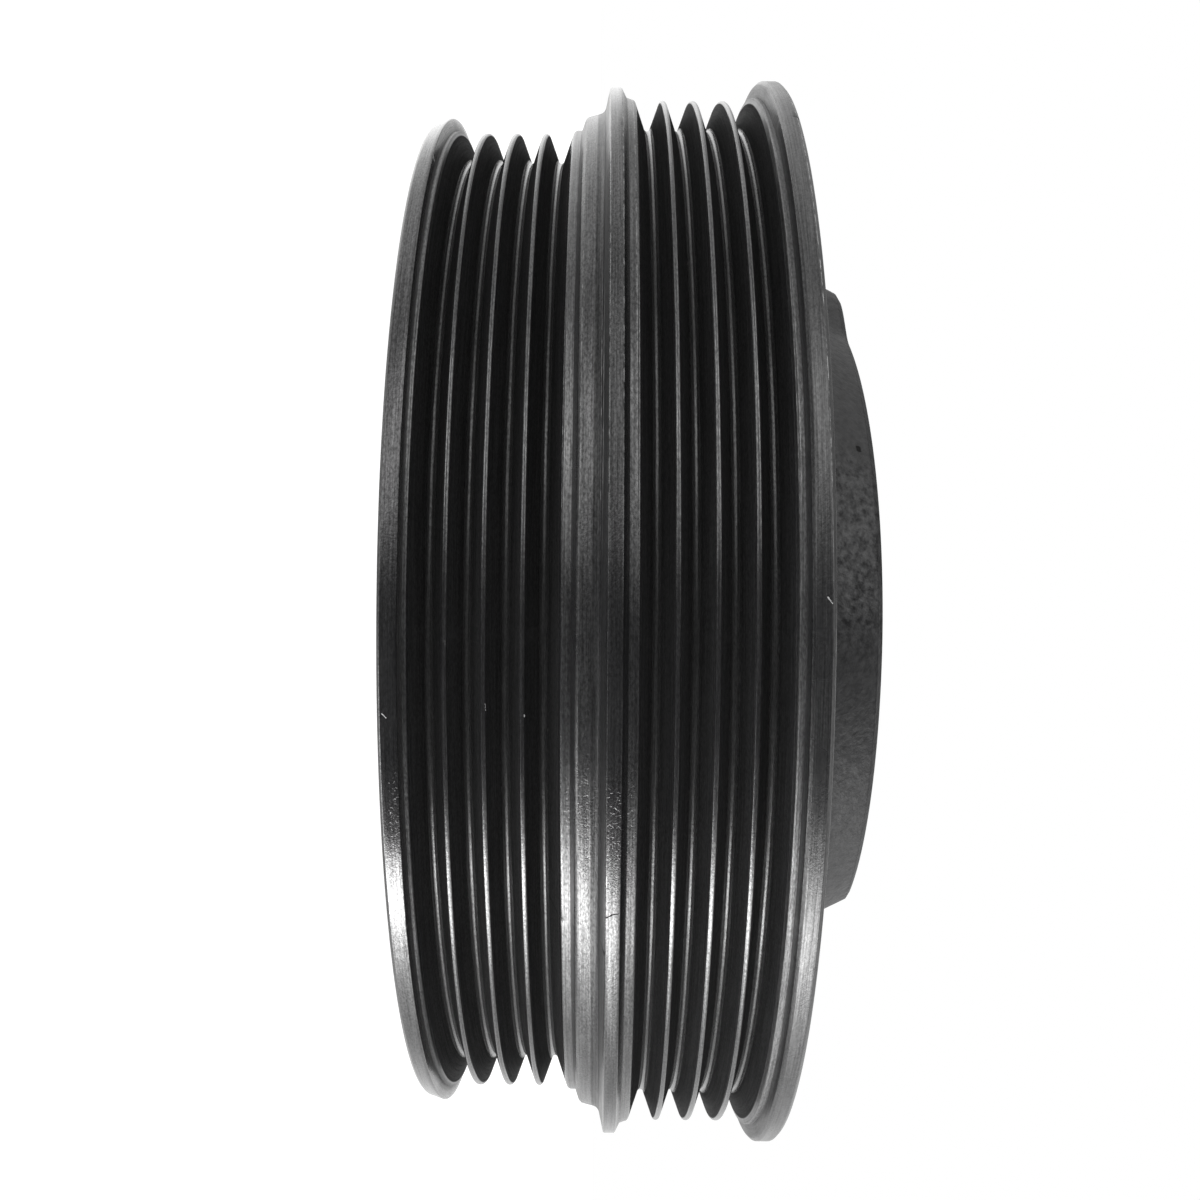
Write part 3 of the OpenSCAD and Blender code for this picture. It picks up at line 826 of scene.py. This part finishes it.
def middle_lands():
    """From the front track to the rear one: low land, bevel, cone land, fillet, collar and high land."""
    draft = math.degrees(COLLAR_DRAFT)
    cone = (CONE_R, CONE_Z)
    cone_end = (CONE_TOP_R, FILLET_Z)
    collar = (COLLAR_R, COLLAR_Z + EDGE_BREAK)
    collar_end = (COLLAR_R, COLLAR_END_Z - EDGE_BREAK)
    return [
        (FRONT_CREST_R + LOW_LAND_RISE, BEVEL_Z, SHARP),
        (CONE_R - EASY_RUN, BEVEL_Z + STEEP_RUN, EASED),
        (*cone, EASED),
        *line(cone, cone_end),
        (*cone_end, SHARP),
        *arc(CONE_TOP_R + COLLAR_FILLET, FILLET_Z, COLLAR_FILLET, 270, 360 - draft, COLLAR_FILLET_STEPS)[1:],
        (COLLAR_R - EDGE_BREAK, COLLAR_Z, SMOOTH),
        (*collar, SMOOTH),
        *line(collar, collar_end),
        (*collar_end, SMOOTH),
        (COLLAR_R - EDGE_BREAK, COLLAR_END_Z, SMOOTH),
        (REAR_CREST_R + HIGH_LAND_RISE + HIGH_LAND_SLOPE, HIGH_LAND_Z, SHARP)]


def rear_flange():
    """From the rear track to the bore's rear edge."""
    front = (REAR_FLANGE_R, REAR_FLANGE_Z + REAR_BEVEL)
    back = (REAR_FLANGE_R, RING_W - REAR_CHAMFER)
    return [
        (REAR_CREST_R + REAR_BAND_RISE, REAR_WALL_Z, SHARP),
        (REAR_FLANGE_R - REAR_BEVEL, REAR_FLANGE_Z, EASED),
        (*front, EASED),
        *line(front, back),
        (*back, EASED),
        (REAR_FLANGE_R - REAR_CHAMFER, RING_W, EASED),
        (RING_BORE_R + RING_BORE_CHAMFER, RING_W, SHARP),
        (RING_BORE_R, RING_W - RING_BORE_CHAMFER, SHARP)]


def ring_profile():
    """The section of the ring from the bore's front edge round to its rear edge."""
    return (
        front_flange()
        + track(FRONT_GROOVE_Z, FRONT_CREST_R, FRONT_BAND_RISE, CREST_ROUND, LOW_LAND_RISE, LAND_ROUND)
        + middle_lands()
        + track(REAR_GROOVE_Z, REAR_CREST_R, HIGH_LAND_RISE, LAND_ROUND, REAR_BAND_RISE, CREST_ROUND)
        + rear_flange())


def eased(profile):
    """The profile with each eased corner as two smooth points, a little way off on either side."""
    points = []
    for i, (r, z, kind) in enumerate(profile):
        if kind != EASED:
            points.append((r, z, kind))
            continue
        for other in (profile[i - 1], profile[(i + 1) % len(profile)]):
            away = CORNER_EASE / math.dist((r, z), other[:2])
            points.append((r + (other[0] - r) * away, z + (other[1] - z) * away, SMOOTH))
    return points


# Hub


def blend(t):
    """From 0 to 1 with level ends."""
    t = min(max(t, 0.0), 1.0)
    return t * t * (3 - 2 * t)


def boss_outline_r(turn):
    """Radius of the boss's end at an angle from the middle of its lug."""
    fall = LUG_FOOT_FALL * blend((LUG_FALL_ANGLE - turn) / (LUG_FALL_ANGLE - LUG_FOOT_ANGLE))
    rise = (LUG_RISE + LUG_FOOT_FALL) * blend((LUG_FOOT_ANGLE - turn) / (LUG_FOOT_ANGLE - LUG_CREST_ANGLE))
    round_r = BOSS_END_R - fall + rise
    toward_flat = -math.cos(math.radians(turn))
    return BOSS_FLAT / toward_flat if round_r * toward_flat > BOSS_FLAT else round_r


def boss_wall(turn):
    """From the ledge behind the rim up the drafted wall to the boss's end."""
    end_r = boss_outline_r(turn)
    slope = math.tan(BOSS_DRAFT) * end_r / BOSS_END_R
    chamfer_z = BOSS_END_Z - BOSS_CHAMFER
    clear_z = BOSS_END_Z - (BOSS_LIMIT_R - end_r) / slope
    wall_z = min(max(clear_z, RIM_END_Z), chamfer_z)
    foot_r = min(BOSS_LIMIT_R, end_r + (BOSS_END_Z - RIM_END_Z) * slope)
    rows = [wall_z + (chamfer_z - wall_z) * i / BOSS_WALL_ROWS for i in range(BOSS_WALL_ROWS + 1)]
    return [
        (foot_r, RIM_END_Z, SHARP),
        *((end_r + (BOSS_END_Z - z) * slope, z, SMOOTH) for z in rows[:-1]),
        (end_r + BOSS_CHAMFER * slope, chamfer_z, EASED),
        ((BOSS_END_R - BOSS_CHAMFER) * end_r / BOSS_END_R, BOSS_END_Z, EASED)]


def fillet_inset(radius):
    """How far a fillet's centre lies from the foot of a drafted wall that it is tangent to."""
    return radius * (1 - math.sin(DISH_DRAFT)) / math.cos(DISH_DRAFT)


def key_angles():
    """The angles from the middle of the keyway to its two corners on one side."""
    inner = math.atan2(KEY_HALF_W, SHAFT_R + KEY_DEPTH)
    outer = math.asin(KEY_HALF_W / SHAFT_R)
    return math.degrees(inner), math.degrees(outer)


def hub_profile(turn):
    """The section of the hub at an angle from the middle of its lug, from the bolt seat round to the bore."""
    draft = math.degrees(DISH_DRAFT)
    rise = math.tan(DISH_DRAFT)
    rim_foot_r = RIM_INNER_R - (WEB_DEPTH - RIM_FRONT_Z) * rise
    core_foot_r = CORE_R + (WEB_DEPTH - SEAT_DEPTH) * rise
    web_fillet_z = WEB_DEPTH - WEB_FILLET
    pocket_foot_r = POCKET_R - (BOSS_END_Z - POCKET_FLOOR_Z) * rise
    pocket_fillet_z = POCKET_FLOOR_Z + POCKET_FILLET
    web_steps, pocket_steps = WEB_FILLET_STEPS, POCKET_FILLET_STEPS
    in_key = turn <= key_angles()[0] + CORNER_EASE
    bore_r = (SHAFT_R + KEY_DEPTH) / math.cos(math.radians(turn)) if in_key else SHAFT_R
    mouth_r = bore_r if in_key else SHAFT_R + SHAFT_CHAMFER
    return [
        (bore_r, SEAT_DEPTH + SHAFT_CHAMFER, SHARP),
        (mouth_r, SEAT_DEPTH, SHARP),
        (CORE_R - HUB_BREAK, SEAT_DEPTH, SHARP),
        (CORE_R, SEAT_DEPTH + HUB_BREAK, SHARP),
        *arc(core_foot_r + fillet_inset(WEB_FILLET), web_fillet_z, WEB_FILLET, 270 + draft, 360, web_steps),
        *arc(rim_foot_r - fillet_inset(WEB_FILLET), web_fillet_z, WEB_FILLET, 0, 90 - draft, web_steps),
        (RIM_INNER_R, RIM_FRONT_Z + HUB_BREAK, SHARP),
        (RIM_INNER_R + HUB_BREAK, RIM_FRONT_Z, SHARP),
        (RIM_R - HUB_BREAK, RIM_FRONT_Z, SHARP),
        (RIM_R, RIM_FRONT_Z + HUB_BREAK, SHARP),
        (RIM_R, RIM_END_Z, SHARP),
        *boss_wall(turn),
        (POCKET_R, BOSS_END_Z, SHARP),
        *arc(pocket_foot_r - fillet_inset(POCKET_FILLET), pocket_fillet_z, POCKET_FILLET,
             90 + draft, 180, pocket_steps),
        *arc(POCKET_CORE_R + POCKET_FILLET, pocket_fillet_z, POCKET_FILLET, 180, 270, pocket_steps),
        (POCKET_CORE_R, BOSS_END_Z, SHARP),
        (mouth_r, BOSS_END_Z, SHARP),
        (bore_r, BOSS_END_Z - SHAFT_CHAMFER, SHARP)]


def lug_turn(angle):
    """The angle from the middle of the lug, 0 to 180, for an angle from the camera's side."""
    turn = abs(angle + 90) % 360
    return 360 - turn if turn > 180 else turn


def even_angles():
    return [i * COLUMN_STEP - 180 for i in range(round(360 / COLUMN_STEP))]


def hub_angles():
    """Columns of the hub, with the corners of the keyway among them and none between each pair."""
    inner, outer = key_angles()
    plain = [a for a in even_angles() if not inner <= lug_turn(a) <= outer]
    return sorted(plain + [side * turn - 90 for side in (-1, 1) for turn in (inner, outer)])


# Marks on the ring and the boss: angle, z, half length round the axis, half width along it, depth
RING_MARKS = [
    (-49.8, 40.30, 0.28, 0.30, 0.16),
    (29.0, 16.60, 0.25, 0.20, 0.12),
    (2.1, 5.60, 0.55, 0.22, 0.08),
    (2.6, 6.10, 0.45, 0.25, 0.06)]
BOSS_MARKS = [(-25.9, 47.8, 0.5, 0.4, 0.15)]
MARK_COLUMNS = 5


def marked_angles(marks, radius):
    """Even columns, with finer ones through each mark."""
    angles = set(even_angles())
    for angle, _, half, _, _ in marks:
        reach = math.degrees(half / radius)
        angles |= {angle + reach * i / MARK_COLUMNS for i in range(-MARK_COLUMNS, MARK_COLUMNS + 1)}
    return sorted(angles)


def sunk(angle, r, z, marks):
    """The radius of a point, lowered by the marks that it lies in."""
    for mark_angle, mark_z, half_round, half_along, depth in marks:
        across = math.radians(angle - mark_angle) * r / half_round
        along = (z - mark_z) / half_along
        r -= depth * max(1 - across * across - along * along, 0)
    return r


def turned(name, profile_at, angles, marks):
    """A closed ring with a column of points at each angle, its profile given by a function of the angle."""
    points, kinds = [], []
    for angle in angles:
        a = math.radians(angle)
        across, along = math.sin(a) * MM, -math.cos(a) * MM
        profile = profile_at(angle)
        kinds = [kind for _, _, kind in profile]
        for r, z, _ in profile:
            marked = sunk(angle, r, z, marks)
            points.append((marked * across, marked * along, z * MM))
    rows, columns = len(kinds), len(angles)
    faces = []
    for c in range(columns):
        first, second = c * rows, (c + 1) % columns * rows
        for k in range(rows):
            n = (k + 1) % rows
            faces.append((first + k, second + k, second + n, first + n))
    piece = plain_mesh(name, points, faces)
    piece.data.shade_smooth()
    for edge in piece.data.edges:
        start, end = edge.vertices
        edge.use_edge_sharp = start % rows == end % rows and kinds[start % rows] == SHARP
    return piece


def keep_flats_flat(piece):
    weighted = piece.modifiers.new("weighted", "WEIGHTED_NORMAL")
    weighted.keep_sharp = True


def add_ring(material):
    profile = eased(ring_profile())
    ring = turned("turned_ring", lambda angle: profile, marked_angles(RING_MARKS, REAR_FLANGE_R), RING_MARKS)
    keep_flats_flat(ring)
    ring.data.materials.append(material)
    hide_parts("pulley_ring")
    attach(ring, "root")


def tool_hole_cutter():
    """Four short rods, where the blind holes for a holding tool lie."""
    sides = TOOL_HOLE_SIDES
    points, faces = [], []
    for i in range(TOOL_HOLE_COUNT):
        place = math.radians(TOOL_HOLE_START_ANGLE + i * 360 / TOOL_HOLE_COUNT)
        first = len(points)
        for z in (WEB_DEPTH - CUTTER_PROUD, WEB_DEPTH + TOOL_HOLE_DEPTH):
            for k in range(sides):
                a = 2 * math.pi * k / sides
                x = TOOL_HOLE_CIRCLE_R * math.cos(place) + TOOL_HOLE_R * math.cos(a)
                y = TOOL_HOLE_CIRCLE_R * math.sin(place) + TOOL_HOLE_R * math.sin(a)
                points.append((x * MM, y * MM, z * MM))
        low = list(range(first, first + sides))
        high = list(range(first + sides, first + 2 * sides))
        faces += [tuple(reversed(low)), tuple(high)]
        faces += [(low[k], low[(k + 1) % sides], high[(k + 1) % sides], high[k]) for k in range(sides)]
    return plain_mesh("tool_hole_cutter", points, faces)


def add_hub(material):
    hub = turned("cast_hub", lambda angle: eased(hub_profile(lug_turn(angle))), hub_angles(), BOSS_MARKS)
    cutter = tool_hole_cutter()
    drilled = hub.modifiers.new("drilled", "BOOLEAN")
    drilled.operation = "DIFFERENCE"
    drilled.solver = "EXACT"
    drilled.object = cutter
    shape = bpy.data.meshes.new_from_object(hub.evaluated_get(bpy.context.evaluated_depsgraph_get()))
    hub.modifiers.clear()
    hub.data = shape
    bpy.data.objects.remove(cutter)
    hub.data.set_sharp_from_angle(angle=math.radians(SHARP_EDGE_ANGLE))
    keep_flats_flat(hub)
    hub.data.materials.clear()
    hub.data.materials.append(material)
    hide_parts("hub")
    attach(hub, "root")


def dress_solid(node, material):
    slots = node.data.materials
    slots.clear()
    slots.append(material)


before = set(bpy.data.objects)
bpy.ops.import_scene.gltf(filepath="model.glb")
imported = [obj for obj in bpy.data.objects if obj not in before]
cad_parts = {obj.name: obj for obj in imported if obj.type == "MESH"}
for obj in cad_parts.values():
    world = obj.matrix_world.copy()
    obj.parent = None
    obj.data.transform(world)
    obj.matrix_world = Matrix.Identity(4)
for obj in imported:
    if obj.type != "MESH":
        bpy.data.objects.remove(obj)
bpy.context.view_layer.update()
add_camera()
add_world()
add_floor()

coat = coat_material()
cast = cast_material()
dress_solid(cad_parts["pulley_ring"], coat)
dress_solid(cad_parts["hub"], cast)
dress_solid(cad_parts["rubber_ring"], rubber_material())
add_ring(coat)
add_hub(cast)
